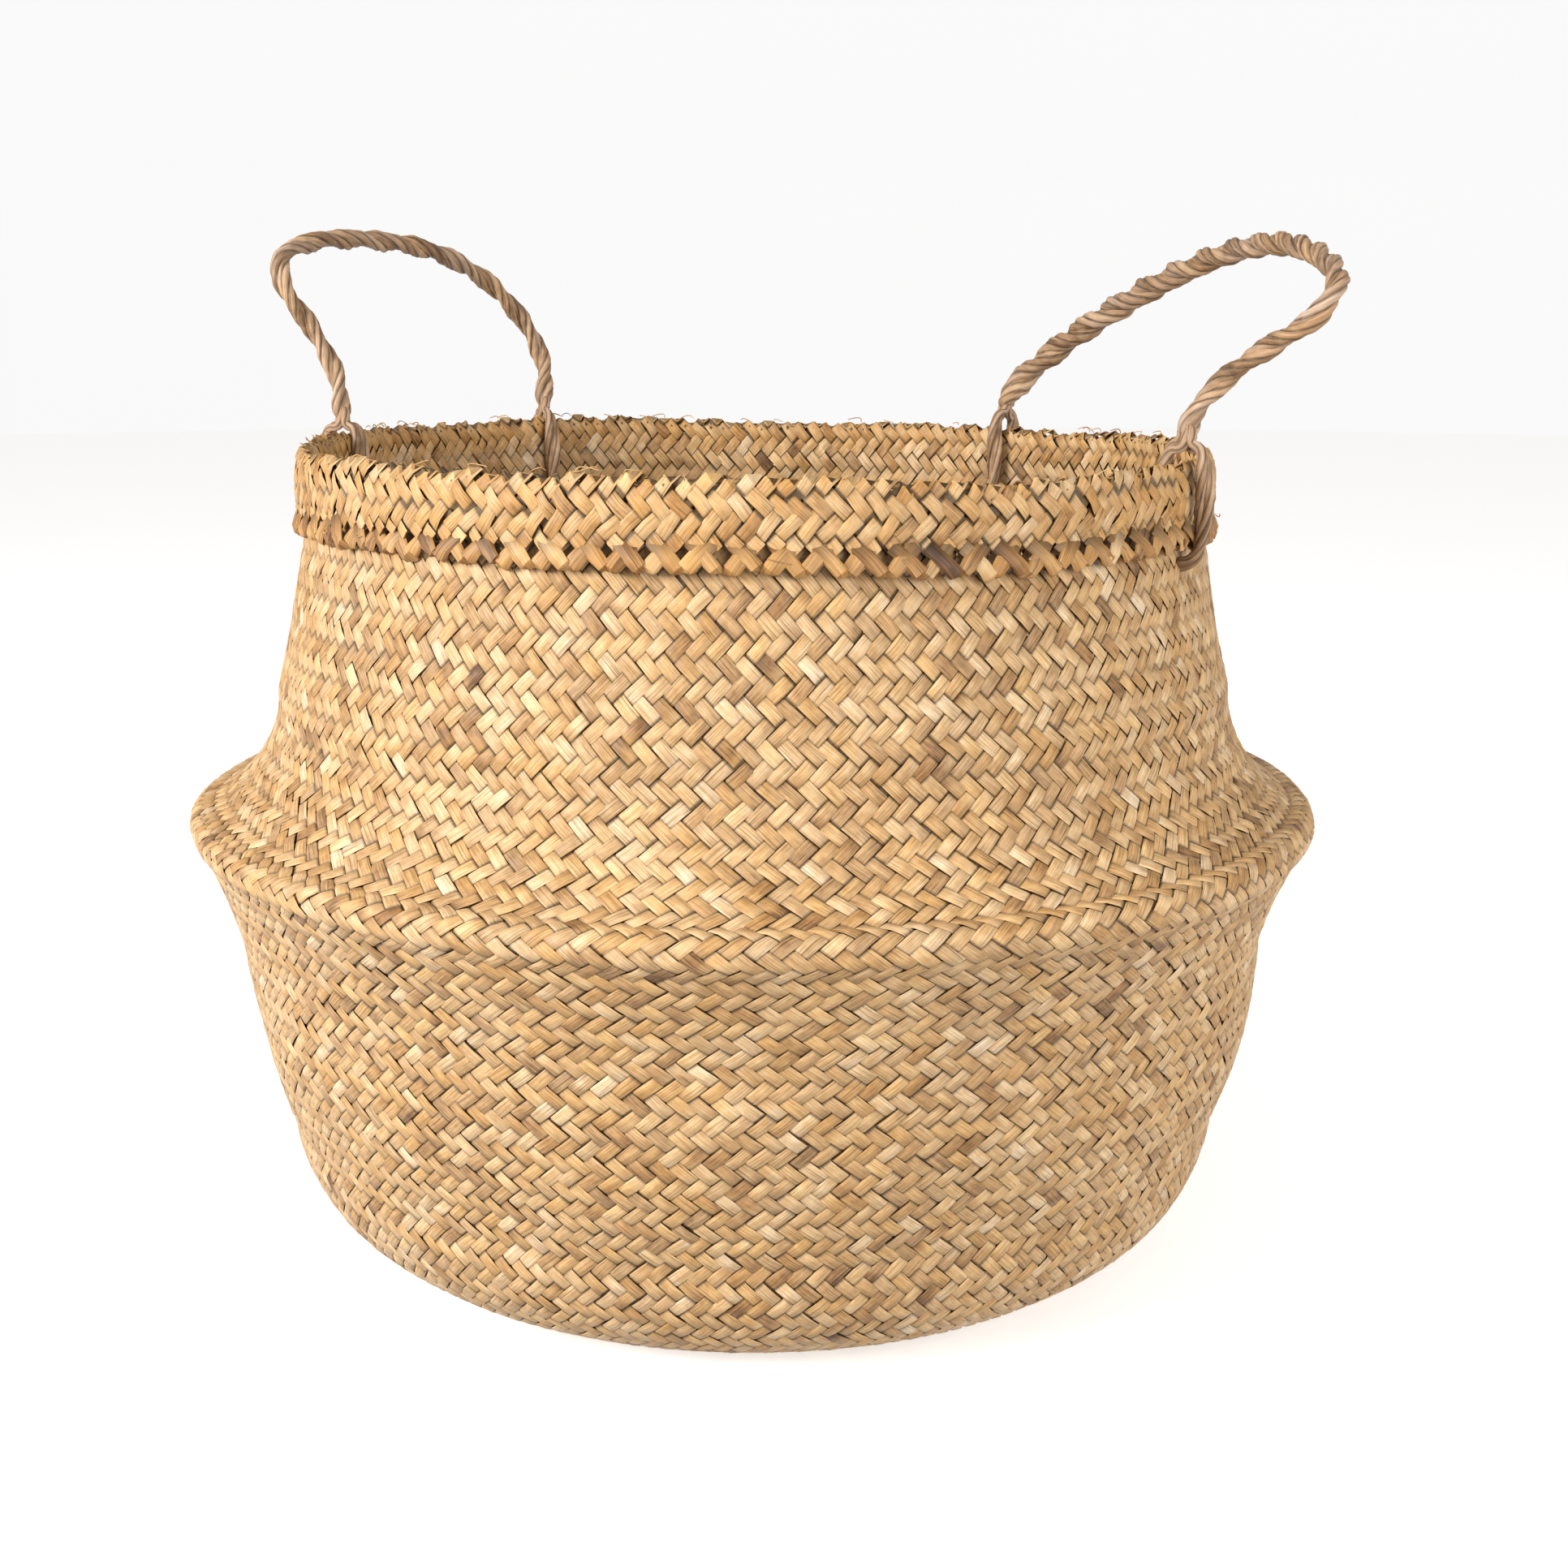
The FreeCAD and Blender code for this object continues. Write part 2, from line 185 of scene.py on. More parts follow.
class Strips:
    """Collects closed strips and makes one mesh of them, with the colour of each point."""

    def __init__(self):
        self.points, self.loops, self.sizes = [], [], []
        self.tones, self.lays, self.shades = [], [], []
        self.total = 0

    def add(self, points, tone, lay, painted_shade):
        """points is strips x stations x ring x 3; tone, lay and the painted shade go with the
        points.
        """
        count, stations, ring, _ = points.shape
        index = self.total + np.arange(count * stations * ring).reshape(count, stations, ring)
        here, ahead = index[:, :-1], index[:, 1:]
        quads = np.stack([here, ahead, np.roll(ahead, -1, 2), np.roll(here, -1, 2)], -1)
        self.loops.append(quads.ravel())
        self.sizes.append(np.full(quads.size // 4, 4))
        for cap in (index[:, 0], index[:, -1, ::-1]):
            self.loops.append(cap.ravel())
            self.sizes.append(np.full(count, ring))
        self.points.append(points.reshape(-1, 3))
        self.tones.append(np.broadcast_to(tone, points.shape[:3]).ravel())
        self.lays.append(lay.reshape(-1, 3))
        self.shades.append(np.broadcast_to(painted_shade, points.shape[:3]).ravel())
        self.total += count * stations * ring

    def make(self, name, material):
        """The mesh object of everything collected."""
        mesh = bpy.data.meshes.new(name)
        loops, sizes = np.concatenate(self.loops), np.concatenate(self.sizes)
        mesh.vertices.add(self.total)
        mesh.vertices.foreach_set("co", np.vstack(self.points).astype(np.float32).ravel())
        mesh.loops.add(len(loops))
        mesh.loops.foreach_set("vertex_index", loops.astype(np.int32))
        mesh.polygons.add(len(sizes))
        starts = np.concatenate([[0], np.cumsum(sizes)[:-1]])
        mesh.polygons.foreach_set("loop_start", starts.astype(np.int32))
        mesh.polygons.foreach_set("use_smooth", np.ones(len(sizes), bool))
        for key, values in (("tone", self.tones), ("painted_shade", self.shades)):
            layer = mesh.attributes.new(key, "FLOAT", "POINT")
            layer.data.foreach_set("value", np.concatenate(values).astype(np.float32))
        lay = mesh.attributes.new("lay", "FLOAT_VECTOR", "POINT")
        lay.data.foreach_set("vector", np.vstack(self.lays).astype(np.float32).ravel())
        mesh.update(calc_edges=True)
        mesh.set_sharp_from_angle(angle=math.radians(50))
        piece = bpy.data.objects.new(name, mesh)
        bpy.context.scene.collection.objects.link(piece)
        mesh.materials.append(material)
        return piece


# Each strip's shade (a few are darker), the shade of each float, and each strip's phase,
# drift to one side and width.
DARK_STRIPS = 0.03
STRIP_SHADE = np.clip(rng.normal(0.60, 0.075, (2, STRIPS)), 0.2, 0.9)
STRIP_SHADE = np.where(rng.random((2, STRIPS)) < DARK_STRIPS, STRIP_SHADE - 0.2, STRIP_SHADE)
FLOAT_SHADE = rng.normal(0, 0.055, 997)
STRIP_PHASE = rng.uniform(0, 2 * math.pi, (2, STRIPS))
STRIP_DRIFT = rng.normal(0, 0.05, (2, STRIPS))
STRIP_COVER = rng.uniform(0.93, 1.02, (2, STRIPS))


def float_height(crossing):
    """From 1 where a strip floats over two others to -1 where it passes under two."""
    wave = np.sin(math.pi * (crossing + 0.5) / 2)
    return np.sign(wave) * np.abs(wave) ** 0.22


def strip_tones(ids, along, family):
    """Each strip's shade along it: its own, a slow drift, each float's, and rare dark patches."""
    own = STRIP_SHADE[family][ids % STRIPS]
    phase = STRIP_PHASE[family][ids % STRIPS]
    drift = 0.09 * np.sin(along * 0.31 + phase) + 0.05 * np.sin(along * 0.83 + 2.3 * phase)
    each = np.floor((along + 0.5 + 2 * family) / 4).astype(int)
    floats = FLOAT_SHADE[(7 * ids + 13 * each) % len(FLOAT_SHADE)]
    patch = np.sin(along * 0.17 + 5.1 * phase) > 0.985
    return own + drift + floats - 0.24 * patch


def painted_seam_shade(over):
    """Painted shade on each point of a strip's ring: 1 where it goes under others, where shade
    falls, 0 on its float.
    """
    seen = over[..., None] * np.where(STRIP_SIDE < 0, -1, 1)
    return np.clip(1 - seen * 1.15, 0, 1)


def weave(name, first_row, last_row, material, facing=1, rough=1.0, ragged=0.0):
    """A band of the wall's weave, between two rows, as one mesh of both families' strips.

    rough scales how uneven the strips are, and ragged is how far a fold in the middle of
    the band differs in height from strip to strip, in millimetres.
    """
    strips = Strips()
    blocks = np.arange(math.floor(first_row / 4) - 1, math.ceil(last_row / 4) + 1)
    stations = (FLOAT_STATIONS[None] + 4 * blocks[:, None]).ravel()
    stations = np.sort(np.concatenate([stations, stations + 2]))
    stations = stations[(stations > first_row - 0.01) & (stations < last_row + 0.01)]
    ids = np.arange(STRIPS)
    for family in (0, 1):
        flipped = (facing > 0) == (family == 1)
        phase = STRIP_PHASE[family][:, None]
        sway = STRIP_DRIFT[family][:, None] + 0.035 * rough * np.sin(stations * 1.3 + phase)
        cover = HALF_COVER * STRIP_COVER[family][:, None, None]
        across = sway[..., None] + cover * STRIP_ACROSS
        over = float_height(stations + 2 * family)
        lift = LIFT * over * (1 + 0.12 * rough * np.sin(stations * 2.1 + 3 * phase))
        tilt = 0.10 * rough * np.sin(stations * 0.9 + 2 * phase)[..., None] * STRIP_ACROSS
        off = facing * lift[..., None] + tilt + SECTION_HEIGHT
        station = np.broadcast_to(stations[None, :, None], off.shape)
        if family == 0:
            lane = ids[:, None, None] + across
            other = ids[:, None, None] + station
        else:
            lane = ids[:, None, None] - station
            other = ids[:, None, None] + across
        points = on_wall(other - lane, (other + lane) * math.pi / STRIPS, off, facing)
        share = np.clip((stations - first_row) / (last_row - first_row), 0, 1)
        uneven = np.sin(7 * phase) * np.sin(math.pi * share) ** 2
        points[..., 2] += ragged * MM * uneven[..., None]
        tone = strip_tones(ids[:, None], stations[None], family)[..., None]
        side = np.broadcast_to(STRIP_ACROSS, off.shape)
        lay = np.stack([side, station * STATION_LENGTH + 0 * side,
                        0 * side + LAY_APART * ids[:, None, None]], -1)
        # painted shade: each strip darkens where it dives under its neighbours, on whichever side is
        # hidden
        painted_shade = painted_seam_shade(facing * over)
        if flipped:
            points, lay, painted_shade = points[:, :, ::-1], lay[:, :, ::-1], painted_shade[:, ::-1]
        strips.add(points, tone, lay, painted_shade)
    return strips.make(name, material)


# --- materials ------------------------------------------------------------------------


def sedge(name, shades, roughness):
    """Dry sedge: shades from the darkest strip to the palest, with fibres along each strip."""
    material = bpy.data.materials.new(name)
    material.use_nodes = True
    nodes, links = material.node_tree.nodes, material.node_tree.links
    surface = nodes["Principled BSDF"]

    def node(kind, inputs=(), **settings):
        made = nodes.new(kind)
        for key, value in settings.items():
            setattr(made, key, value)
        for socket, value in inputs:
            if isinstance(value, bpy.types.NodeSocket):
                links.new(value, made.inputs[socket])
            else:
                made.inputs[socket].default_value = value
        return made

    def stretched(across, along):
        lay = node("ShaderNodeAttribute", attribute_name="lay")
        return node("ShaderNodeVectorMath", [(0, lay.outputs["Vector"]), (1, (across, along, 1))],
                    operation="MULTIPLY").outputs[0]

    def noise(across, along, detail=3.0):
        made = node("ShaderNodeTexNoise", [("Vector", stretched(across, along)), ("Scale", 1.0),
                                           ("Detail", detail), ("Roughness", 0.6)])
        return made.outputs["Fac"]

    def spread(value, low, high):
        made = node("ShaderNodeMapRange", [("Value", value), ("From Min", 0.3), ("From Max", 0.7),
                                           ("To Min", low), ("To Max", high)])
        return made.outputs[0]

    def added(first, second):
        return node("ShaderNodeMath", [(0, first), (1, second)], operation="ADD").outputs[0]

    tone = node("ShaderNodeAttribute", attribute_name="tone").outputs["Fac"]
    fibres = noise(5.0, 0.10)
    blotches = noise(0.5, 0.22, 2.0)
    shade = added(added(tone, spread(fibres, -0.2, 0.2)), spread(blotches, -0.12, 0.12))
    ramp = node("ShaderNodeValToRGB", [("Fac", shade)])
    stops = ramp.color_ramp.elements
    stops[0].color, stops[1].color = (*shades[0], 1), (*shades[-1], 1)
    for number, colour in enumerate(shades[1:-1], start=1):
        stops.new(number / (len(shades) - 1)).color = (*colour, 1)
    tint = node("ShaderNodeMix", [(0, spread(noise(0.02, 0.035, 0.0), 0, 1)),
                                  (6, (*PALE_TINT, 1)), (7, (*ORANGE_TINT, 1))], data_type="RGBA")
    tinted = node("ShaderNodeMix", [(0, 1.0), (6, ramp.outputs["Color"]), (7, tint.outputs[2])],
                  data_type="RGBA", blend_type="MULTIPLY")
    splits = node("ShaderNodeMapRange", [("Value", noise(9.0, 0.05)), ("From Min", 0.38),
                                         ("From Max", 0.44), ("To Min", 0.5), ("To Max", 1.0)])
    # painted shade from the mesh darkens the colour where strips dive under others, in a rope's
    # grooves and where ends tuck under the cuff
    painted_shade = node("ShaderNodeAttribute", attribute_name="painted_shade").outputs["Fac"]
    painted_shade_factor = node("ShaderNodeMapRange", [("Value", painted_shade), ("To Min", 1.0), ("To Max", 0.22)])
    kept = node("ShaderNodeMath", [(0, splits.outputs[0]), (1, painted_shade_factor.outputs[0])],
                operation="MULTIPLY")
    coloured = node("ShaderNodeMix", [(0, 1.0), (6, tinted.outputs[2]), (7, kept.outputs[0])],
                    data_type="RGBA", blend_type="MULTIPLY")
    links.new(coloured.outputs[2], surface.inputs["Base Color"])
    links.new(spread(fibres, roughness - 0.08, roughness + 0.1), surface.inputs["Roughness"])
    surface.inputs["Specular IOR Level"].default_value = 0.38
    bump = node("ShaderNodeBump", [("Height", fibres), ("Strength", 0.55), ("Distance", 0.00035)])
    links.new(bump.outputs[0], surface.inputs["Normal"])
    return material


PALE_TINT, ORANGE_TINT = (0.99, 1.01, 1.14), (1.03, 0.95, 0.82)
WEAVE_SHADES = [(0.10, 0.045, 0.016), (0.30, 0.165, 0.065), (0.48, 0.295, 0.125),
                (0.63, 0.43, 0.215), (0.77, 0.61, 0.395)]
RIM_SHADES = [(0.10, 0.042, 0.014), (0.32, 0.165, 0.055), (0.50, 0.285, 0.10),
              (0.61, 0.395, 0.18), (0.70, 0.52, 0.30)]
ROPE_SHADES = [(0.06, 0.032, 0.016), (0.21, 0.122, 0.06), (0.38, 0.242, 0.135),
               (0.51, 0.345, 0.21), (0.63, 0.465, 0.31)]
weave_material = sedge("dry_sedge", WEAVE_SHADES, 0.52)
rim_material = sedge("golden_sedge", RIM_SHADES, 0.5)
rope_material = sedge("twisted_sedge", ROPE_SHADES, 0.55)

# --- the wall ---------------------------------------------------------------------------

first = row_at(0)
ridge_low = row_at(RIDGE_FOOT)
shoulder_low, neck_low = row_at(RIDGE_TOP), row_at(SHOULDER_TOP)
rim_low = row_at(RIM_FOOT)
cuff_end = row_at(CUFF_FOOT, folded=True)
corner_end = row_at(CORNER)
middle_row = row_at(BELLY_MIDDLE)
BANDS = [
    ("weave_corner", first, corner_end, "base_curve"),
    ("weave_low", corner_end, middle_row, "lower_wall"),
    ("weave_middle", middle_row, ridge_low, None),
    ("weave_ridge", ridge_low, shoulder_low, "belly_ridge"),
]
for name, low, high, node_name in BANDS:
    band = weave(name, low, high, weave_material)
    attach(band, "base")
    if node_name:
        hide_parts(node_name)
shoulder = weave("weave_shoulder", shoulder_low, neck_low, weave_material)
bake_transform(shoulder)
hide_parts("shoulder")
neck_middle = row_at(NECK_MIDDLE)
neck = weave("weave_neck", neck_low, neck_middle, weave_material)
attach(neck, "collar")
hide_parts("upper_wall")
neck_top = weave("weave_neck_top", neck_middle, rim_low, weave_material)
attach(neck_top, "collar")
cuff = weave("rim_and_cuff", rim_low, cuff_end, rim_material, facing=-1, rough=2.8, ragged=1.1)
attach(cuff, "collar")
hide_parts("rim_cuff")


def make_mat():
    """The flat weave of the base: two families of straight strips, over two and under two."""
    strips = Strips()
    reach = BASE_RADIUS + MAT_UNDER_CORNER
    lanes = np.arange(-math.floor(reach / STRIP_WIDTH), math.floor(reach / STRIP_WIDTH) + 1)
    for family in (0, 1):
        for lane in lanes:
            half = math.sqrt(reach**2 - (lane * STRIP_WIDTH) ** 2) / STRIP_WIDTH
            if half < 1:
                continue
            grid = (FLOAT_STATIONS[None] + 2 * np.arange(-40, 40)[:, None]).ravel()
            station = grid - lane
            station = np.sort(station[np.abs(station) < half])
            station = np.concatenate([[-half], station, [half]])
            over = float_height(station + lane) * (1 if family == 0 else -1)
            along = np.broadcast_to(station[:, None] * STRIP_WIDTH,
                                    (len(station), len(STRIP_ACROSS)))
            side = (lane + HALF_COVER * STRIP_ACROSS)[None] * STRIP_WIDTH + 0 * along
            height = MAT_MIDDLE + LIFT * over[:, None] + SECTION_HEIGHT
            flat = (along, side) if family == 0 else (side, along)
            points = np.stack([*flat, height], -1)[None] * MM
            tone = strip_tones(np.array([lane % STRIPS]), station, family)[None, :, None]
            lay = np.stack([0 * along + STRIP_ACROSS, along, 0 * along + LAY_APART * lane], -1)[None]
            # painted shade: darker where the strip dives under the other family
            painted_shade = painted_seam_shade(over)
            if family == 0:
                points, painted_shade = points[:, :, ::-1], painted_shade[:, ::-1]
            strips.add(points, tone, lay, painted_shade)
    return strips.make("weave_base", weave_material)


mat = make_mat()
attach(mat, "base")
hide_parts("woven_base")

# --- the turned-back ends under the cuff, and loose fibres --------------------------------


def ribbons(name, centres, sides, widths, thickness, material, shade, dark=0.0):
    """Strips along centre lines (strips x stations x 3), with their side directions and any painted
    shadow along them.
    """
    strips = Strips()
    step = np.gradient(centres, axis=1)
    step /= np.linalg.norm(step, axis=2)[..., None]
    sides = sides - step * np.sum(sides * step, -1)[..., None]
    sides /= np.linalg.norm(sides, axis=2)[..., None]
    up = np.cross(step, sides)
    half = widths[:, None, None, None] / 2 * STRIP_ACROSS[None, None, :, None]
    rise = np.where(STRIP_SIDE > 0, 1.6 * thickness, STRIP_SIDE * thickness / 2)
    points = centres[:, :, None] + sides[:, :, None] * half + up[:, :, None] * rise[:, None]
    run = np.arange(centres.shape[1])[None, :, None] * 1.5
    apart = 11.7 * np.arange(len(centres))[:, None, None]
    lay = np.stack(np.broadcast_arrays(STRIP_ACROSS[None, None], run, apart), -1)
    strips.add(points[:, :, ::-1] * MM, shade[:, None, None], lay[:, :, ::-1], dark)
    return strips.make(name, material)


def round_axis(radius, angle, height):
    """Points at a radius and angle round the basket's axis, and at a height."""
    return np.stack([radius * np.cos(angle), radius * np.sin(angle), height], -1)


def make_turned_ends():
    """Strip ends that leave the cuff slanting down and fold back up behind it."""
    count = STRIPS
    which = np.arange(count)
    lean = np.where(which % 2 == 0, 1.0, -1.0)
    jitter = rng.normal(0, 1, (4, count))
    start = which * 2 * math.pi / count + jitter[0] * 0.004
    # At six places along an end: how far round it has slanted, its height and its radius.
    slant = np.array([-6.0, -3.4, -0.8, 1.6, 2.3, 0.6])
    depth = np.array([261.5, 259.2, 256.6, 253.9, 252.9, 255.6])
    reach = np.array([156.9, 158.1, 159.4, 159.7, 158.3, 157.2])
    angle = start[:, None] + lean[:, None] * slant / 158
    height = depth + jitter[1][:, None] * np.linspace(0, 0.7, 6)
    height = height + rim_wave(start)[:, None]
    radius = reach + 0.35 * jitter[2][:, None] + np.where(which % 2 == 0, 0.35, -0.1)[:, None]
    centres = round_axis(radius, angle, height)
    sides = round_axis(0 * angle + 1, angle + math.pi / 2, 0 * angle)
    widths = 5.0 + 0.4 * jitter[3]
    shade = np.clip(rng.normal(0.42, 0.16, count), 0.05, 0.9)
    # painted shadow along each end: darkest at both ends, where it goes in under the cuff
    dark = np.array([0.9, 0.55, 0.1, 0, 0.2, 0.9])[:, None]
    return ribbons("turned_ends", centres, sides, widths, 0.5, rim_material, shade, dark)


ends = make_turned_ends()
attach(ends, "collar")
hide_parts("cuff_turned_ends")


def make_loose_fibres():
    """Fine split fibres that curl off the rim and the cuff."""
    count = 80
    angle = rng.uniform(0, 2 * math.pi, count)
    on_top = rng.random(count) < 0.65
    spread = np.linspace(0, 1, 9)
    length = rng.uniform(3, 9, count)[:, None]
    curl = rng.uniform(-1, 1, (2, count))[..., None]
    height = np.where(on_top, 279.6, rng.uniform(255, 262, count))[:, None]
    rise = np.where(on_top, 0.45, -0.35)[:, None]
    radius = np.where(on_top, 156.5, 160.2)[:, None]
    bend = angle[:, None] + (spread * length * 0.8 + curl[0] * 3 * np.sin(3 * spread)) / 157
    height = height + rim_wave(angle)[:, None] + rise * length * 0.5 * np.sin(2.6 * spread)
    radius = radius + 0.25 * length * spread * curl[1] + 0.8 * np.sin(3 * spread)
    centres = round_axis(radius, bend, height)
    sides = round_axis(0 * bend + 1, bend, 0.4 + 0 * bend)
    shade = rng.uniform(0.3, 0.9, count)
    return ribbons("loose_fibres", centres, sides, rng.uniform(0.2, 0.45, count), 0.12,
                   rim_material, shade)


fibres = make_loose_fibres()
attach(fibres, "collar")

# --- the rope handles -----------------------------------------------------------------------

HINGE_RADIUS, HINGE_HEIGHT = 156.2, 289
LOBES, RING_POINTS = 4, 40      # strips in each strand, and points round a strand
ROPE_STEP = 0.8                 # from one ring of a strand to the next
HANDLES = {  # ends' angles, the loop's lean, and the rope's route along its chord and up
    "left": ((167, 124), 20, [
        (0, 0), (3, 15), (-3, 32), (-12, 48), (-8, 60), (14, 66), (44, 66.5), (76, 63),
        (102, 51), (118, 32), (122, 14)]),
    "right": ((49, -29), 40, [
        (0, 0), (0, 14), (16, 32), (43, 49), (73, 63), (106, 73), (142, 77), (176, 73),
        (206, 65), (222, 57), (224, 44), (208, 34), (196, 23), (191, 12)]),
}
STRAND_RADIUS, STRAND_OFFSET, ROPE_PITCH = 2.75, 1.4, 39.0
END_ROUNDING, END_REACH = 4.0, 3.0      # how long a rope's round end is, and how far below the hinge
ROPE_SWELL = {"left": (0.88, 0.88, 0.95, 0.95, 0.9), "right": (1.25, 1.25, 1.02, 0.88, 0.88)}
LEG_STRAND_RADIUS, LEG_PITCH, LEG_START = 1.75, 60.0, 0.4

# The (radius, height) route of the two strands that hold each end of a rope to the wall.
LEG_OUTER = [(156.6, 290.5), (156.9, 286.5), (157.6, 283.4), (161.6, 282.8), (163.2, 274),
             (163.0, 258), (162.0, 250), (158.5, 246), (153.8, 245.2)]
LEG_INNER = [(155.8, 290.5), (155.5, 286.5), (154.8, 283.4), (150.8, 282.8), (149.2, 274),
             (149.6, 258), (150.2, 250), (152.2, 246), (154.6, 245.2)]


def smooth_line(points, step):
    """Points, evenly spaced, read from the NURBS spline with these control points."""
    curve = bpy.data.curves.new("route", "CURVE")
    curve.dimensions = "3D"
    curve.resolution_u = 14
    spline = curve.splines.new("NURBS")
    spline.points.add(len(points) - 1)
    for place, point in zip(spline.points, points):
        place.co = (*point, 1)
    spline.order_u = 3
    spline.use_endpoint_u = True
    holder = bpy.data.objects.new("route", curve)
    bpy.context.scene.collection.objects.link(holder)
    bpy.context.view_layer.update()
    mesh = bpy.data.meshes.new_from_object(holder)
    line = np.array([v.co for v in mesh.vertices], float)
    bpy.data.objects.remove(holder)
    bpy.data.curves.remove(curve)
    bpy.data.meshes.remove(mesh)
    run = np.concatenate([[0], np.cumsum(np.linalg.norm(np.diff(line, axis=0), axis=1))])
    even = np.linspace(0, run[-1], max(8, round(run[-1] / step)))
    return np.column_stack([np.interp(even, run, line[:, i]) for i in range(3)]), even


def carried_frames(line):
    """Two directions square to the line at each point, carried along it without turning."""
    step = np.gradient(line, axis=0)
    step /= np.linalg.norm(step, axis=1)[:, None]
    side = np.cross(step[0], (0.3, 0.9, 0.2))
    sides = []
    for direction in step:
        side = side - direction * (side @ direction)
        side = side / np.linalg.norm(side)
        sides.append(side)
    sides = np.array(sides)
    return sides, np.cross(step, sides)


def twisted(strips, line, run, radius, offset, pitch, starts, shade, phase_at=None, girth=(1, 1)):
    """Strands of flat strips, wound round a line in millimetres; girth swells them along it."""
    side, up = carried_frames(line)
    angle = 2 * math.pi * run / pitch
    if phase_at is not None:
        first, last = [math.atan2(way @ up[i], way @ side[i]) for i, way in zip((0, -1), phase_at)]
        extra = (last - first - angle[-1]) % math.pi
        angle = first + angle + extra * run / run[-1]
    girth = np.interp(run / run[-1], np.linspace(0, 1, len(girth)), girth)
    from_end = np.clip(np.minimum(run, run[-1] - run) / END_ROUNDING, 0, 1)
    girth = girth * np.sqrt(1 - 0.85 * (1 - from_end) ** 2)
    ring = np.arange(RING_POINTS) * 2 * math.pi / RING_POINTS
    for number, start in enumerate(starts):
        out = angle + start
        reach = (offset * girth)[:, None]
        centre = line + reach * (np.cos(out)[:, None] * side + np.sin(out)[:, None] * up)
        swell = 1 + 0.07 * np.sin(run * 0.45 + start) + 0.04 * np.sin(run * 1.3 + 2 * start)
        around = ring[None] + out[:, None]
        slip = 0.16 * np.sin(run * 0.21 + 2 * number)[:, None]
        turned = LOBES / 2 * (ring[None] - 0.05 * run[:, None] + slip + number)
        lobes = np.abs(np.sin(turned))
        size = radius * (swell * girth)[:, None] * (0.76 + 0.26 * lobes**0.45)
        points = (centre[:, None] + (size * np.cos(around))[..., None] * side[:, None]
                  + (size * np.sin(around))[..., None] * up[:, None])
        which = np.floor(turned / math.pi)
        tone = shade + 0.2 * np.sin(which * 2.4 + number) + 0.07 * np.sin(run * 0.12)[:, None]
        lay = np.stack([np.broadcast_to(ring[None] * 1.4, tone.shape),
                        np.broadcast_to(run[:, None], tone.shape),
                        np.full(tone.shape, 3.1 * number)], -1)
        # painted shade: darker in the grooves between a strand's strips, where shade falls
        strips.add(points[None] * MM, tone[None], lay[None], (1 - lobes[None]) ** 2)


def handle_route(name):
    """The control points of a handle's rope, in millimetres, and its ends' outward ways."""
    angles, lean, route = HANDLES[name]
    ways = [np.array([math.cos(math.radians(a)), math.sin(math.radians(a)), 0]) for a in angles]
    ends = [HINGE_RADIUS * way + (0, 0, HINGE_HEIGHT) for way in ways]
    along = (ends[1] - ends[0]) / np.linalg.norm(ends[1] - ends[0])
    outward = np.cross(along, (0, 0, 1))
    outward = outward if outward @ ends[0] > 0 else -outward
    lean = math.radians(lean)
    up = np.array([0, 0, math.cos(lean)]) + outward * math.sin(lean)
    first, *middle = [ends[0] + u * along + v * up for u, v in route]
    reach = np.array([0, 0, END_REACH])
    return [first - reach, first, *middle, ends[1], ends[1] - reach], ways


for name in HANDLES:
    control, ways = handle_route(name)
    line, run = smooth_line(control, ROPE_STEP)
    rope = Strips()
    twisted(rope, line, run, STRAND_RADIUS, STRAND_OFFSET, ROPE_PITCH, (0, math.pi), 0.55,
            phase_at=ways, girth=ROPE_SWELL[name])
    rope = rope.make(name + "_twisted_rope", rope_material)
    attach(rope, name + "_handle")
    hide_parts(name + "_rope")
    for end, way in zip(("first", "second"), ways):
        legs = Strips()
        for path in (LEG_OUTER, LEG_INNER):
            points = [radius * way + (0, 0, height) for radius, height in path]
            line, run = smooth_line(points, ROPE_STEP)
            twisted(legs, line, run, LEG_STRAND_RADIUS, STRAND_OFFSET, LEG_PITCH,
                    (LEG_START, math.pi + LEG_START), 0.5)
        legs = legs.make(f"{name}_{end}_strands", rope_material)
        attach(legs, "collar")
        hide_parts(f"{name}_{end}_leg")

# --- floor, light and camera ------------------------------------------------------------------


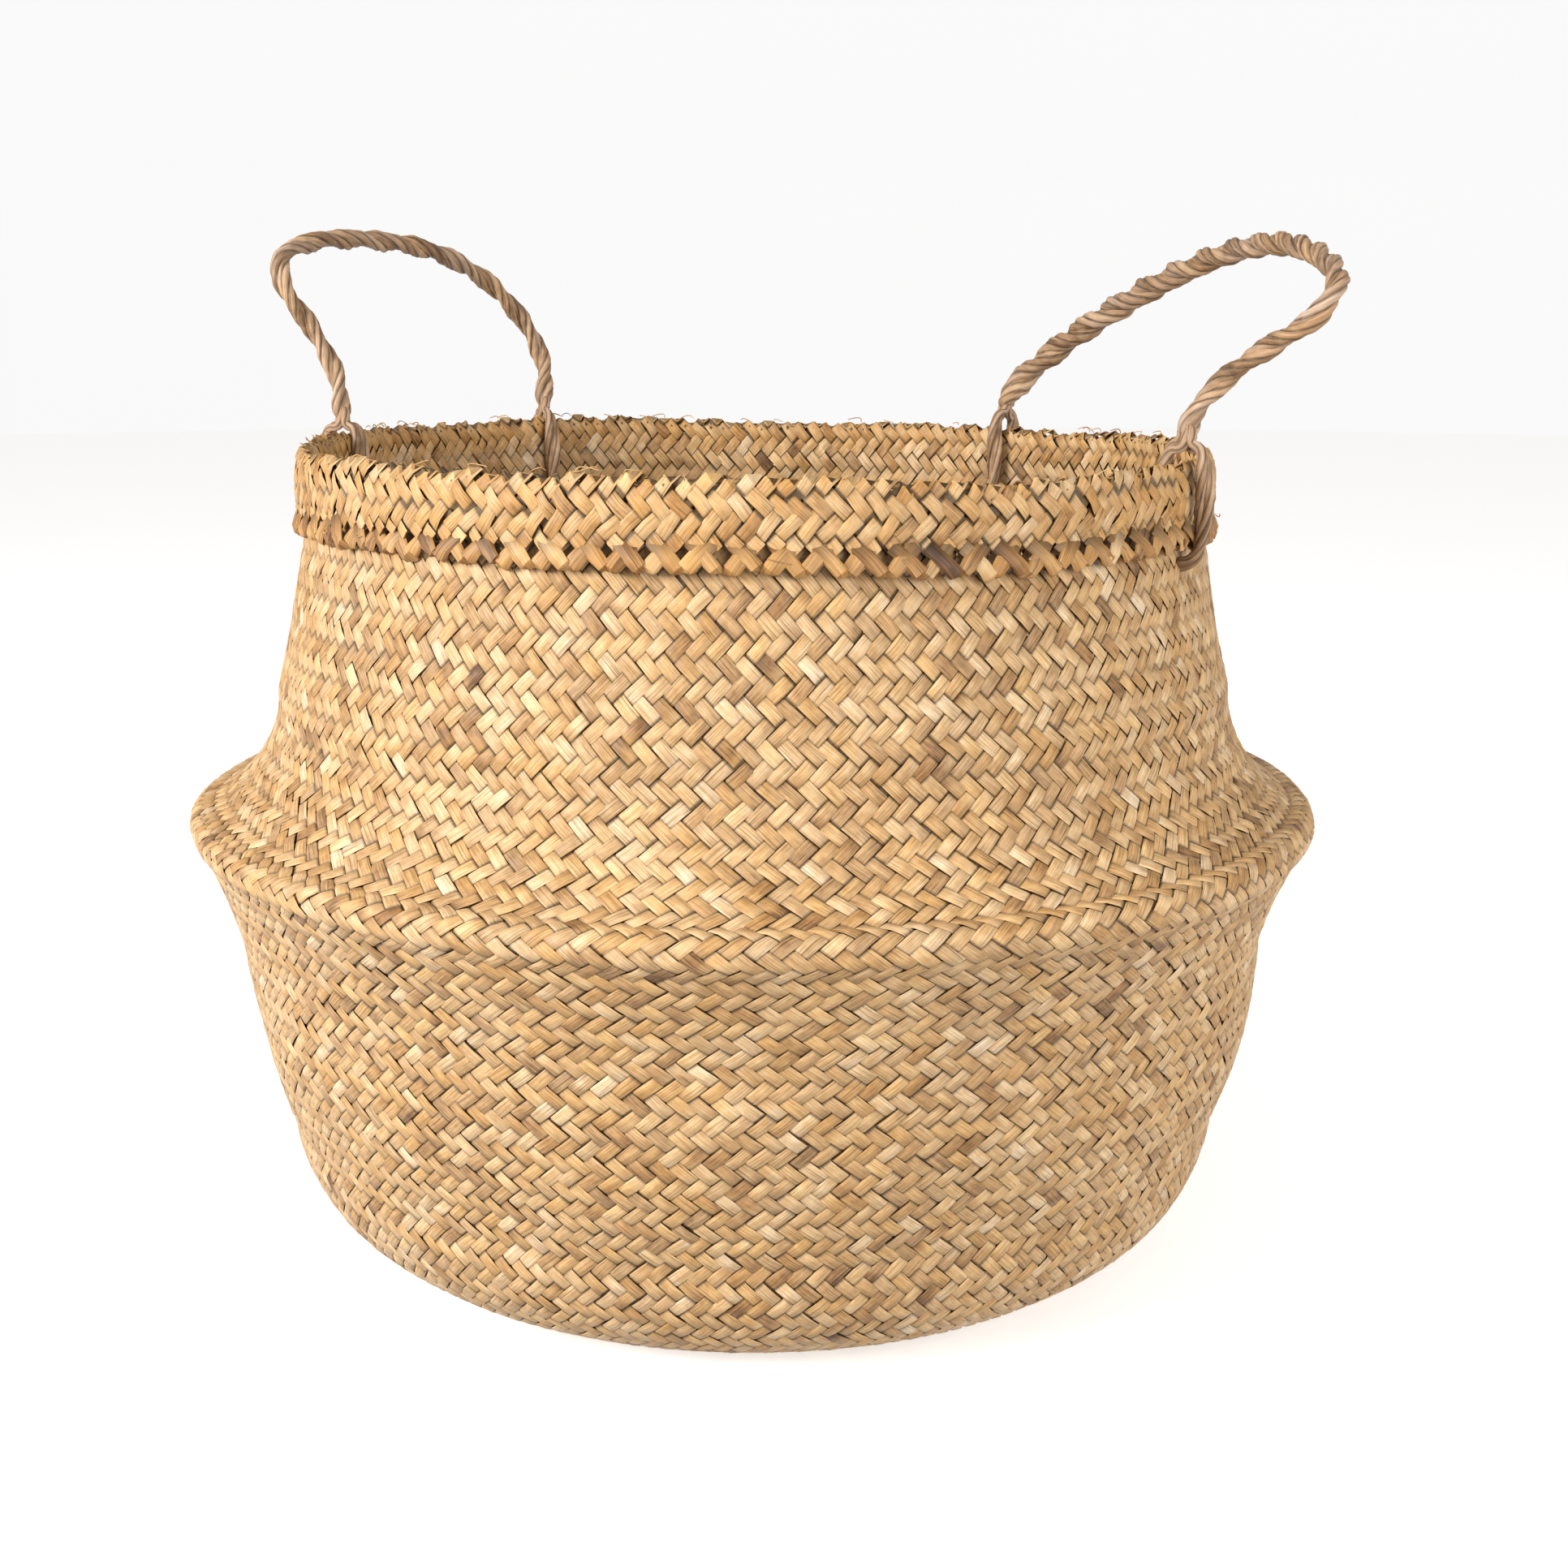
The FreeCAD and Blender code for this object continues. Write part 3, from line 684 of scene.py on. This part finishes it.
def glowing(name, colour, roughness, glow):
    """A plain surface that also gives off that much white light."""
    material = bpy.data.materials.new(name)
    material.use_nodes = True
    surface = material.node_tree.nodes["Principled BSDF"].inputs
    surface["Base Color"].default_value = (*colour, 1)
    surface["Roughness"].default_value = roughness
    surface["Emission Color"].default_value = (1, 1, 1, 1)
    surface["Emission Strength"].default_value = glow
    return material


floor_mesh = bpy.data.meshes.new("floor")
floor_mesh.from_pydata([(-6, -6, 0), (6, -6, 0), (6, 6, 0), (-6, 6, 0)], [], [(0, 1, 2, 3)])
floor = bpy.data.objects.new("floor", floor_mesh)
floor.location.z = -0.3 * MM
bpy.context.scene.collection.objects.link(floor)
floor_mesh.materials.append(glowing("floor", (0.82, 0.81, 0.80), 0.9, 0.53))
floor.visible_diffuse = False

bpy.ops.mesh.primitive_uv_sphere_add(segments=48, ring_count=24, radius=5)
backdrop = bpy.context.object
backdrop.name = "backdrop"
backdrop.visible_diffuse = backdrop.visible_glossy = backdrop.visible_shadow = False
backdrop.data.materials.append(glowing("backdrop", (0, 0, 0), 0.5, 0.915))

world = bpy.data.worlds.new("studio")
world.use_nodes = True
world.node_tree.nodes["Background"].inputs["Color"].default_value = (1, 0.99, 0.98, 1)
world.node_tree.nodes["Background"].inputs["Strength"].default_value = 0.48
bpy.context.scene.world = world
LIGHTS = [  # name, place, size and power
    ("key", (-1.3, -0.8, 0.78), 0.7, 37),
    ("fill", (1.0, -1.3, 0.6), 1.2, 23),
]
for name, place, size, power in LIGHTS:
    lamp = bpy.data.lights.new(name, "AREA")
    lamp.size, lamp.energy, lamp.color = size, power, (1.0, 0.97, 0.93)
    light = bpy.data.objects.new(name, lamp)
    light.location = place
    light.rotation_euler = (Vector((0, 0, 0.15)) - Vector(place)).to_track_quat("-Z", "Y").to_euler()
    bpy.context.scene.collection.objects.link(light)

camera_data = bpy.data.cameras.new("camera")
camera_data.sensor_width = 36
camera_data.lens = 46.58
camera_data.shift_x = 0.0188
camera = bpy.data.objects.new("camera", camera_data)
camera.location = (0, -0.7256, 0.3269)
camera.rotation_euler = (math.radians(76.73), 0, 0)
bpy.context.scene.collection.objects.link(camera)
bpy.context.scene.camera = camera
bpy.context.scene.view_settings.view_transform = "Standard"
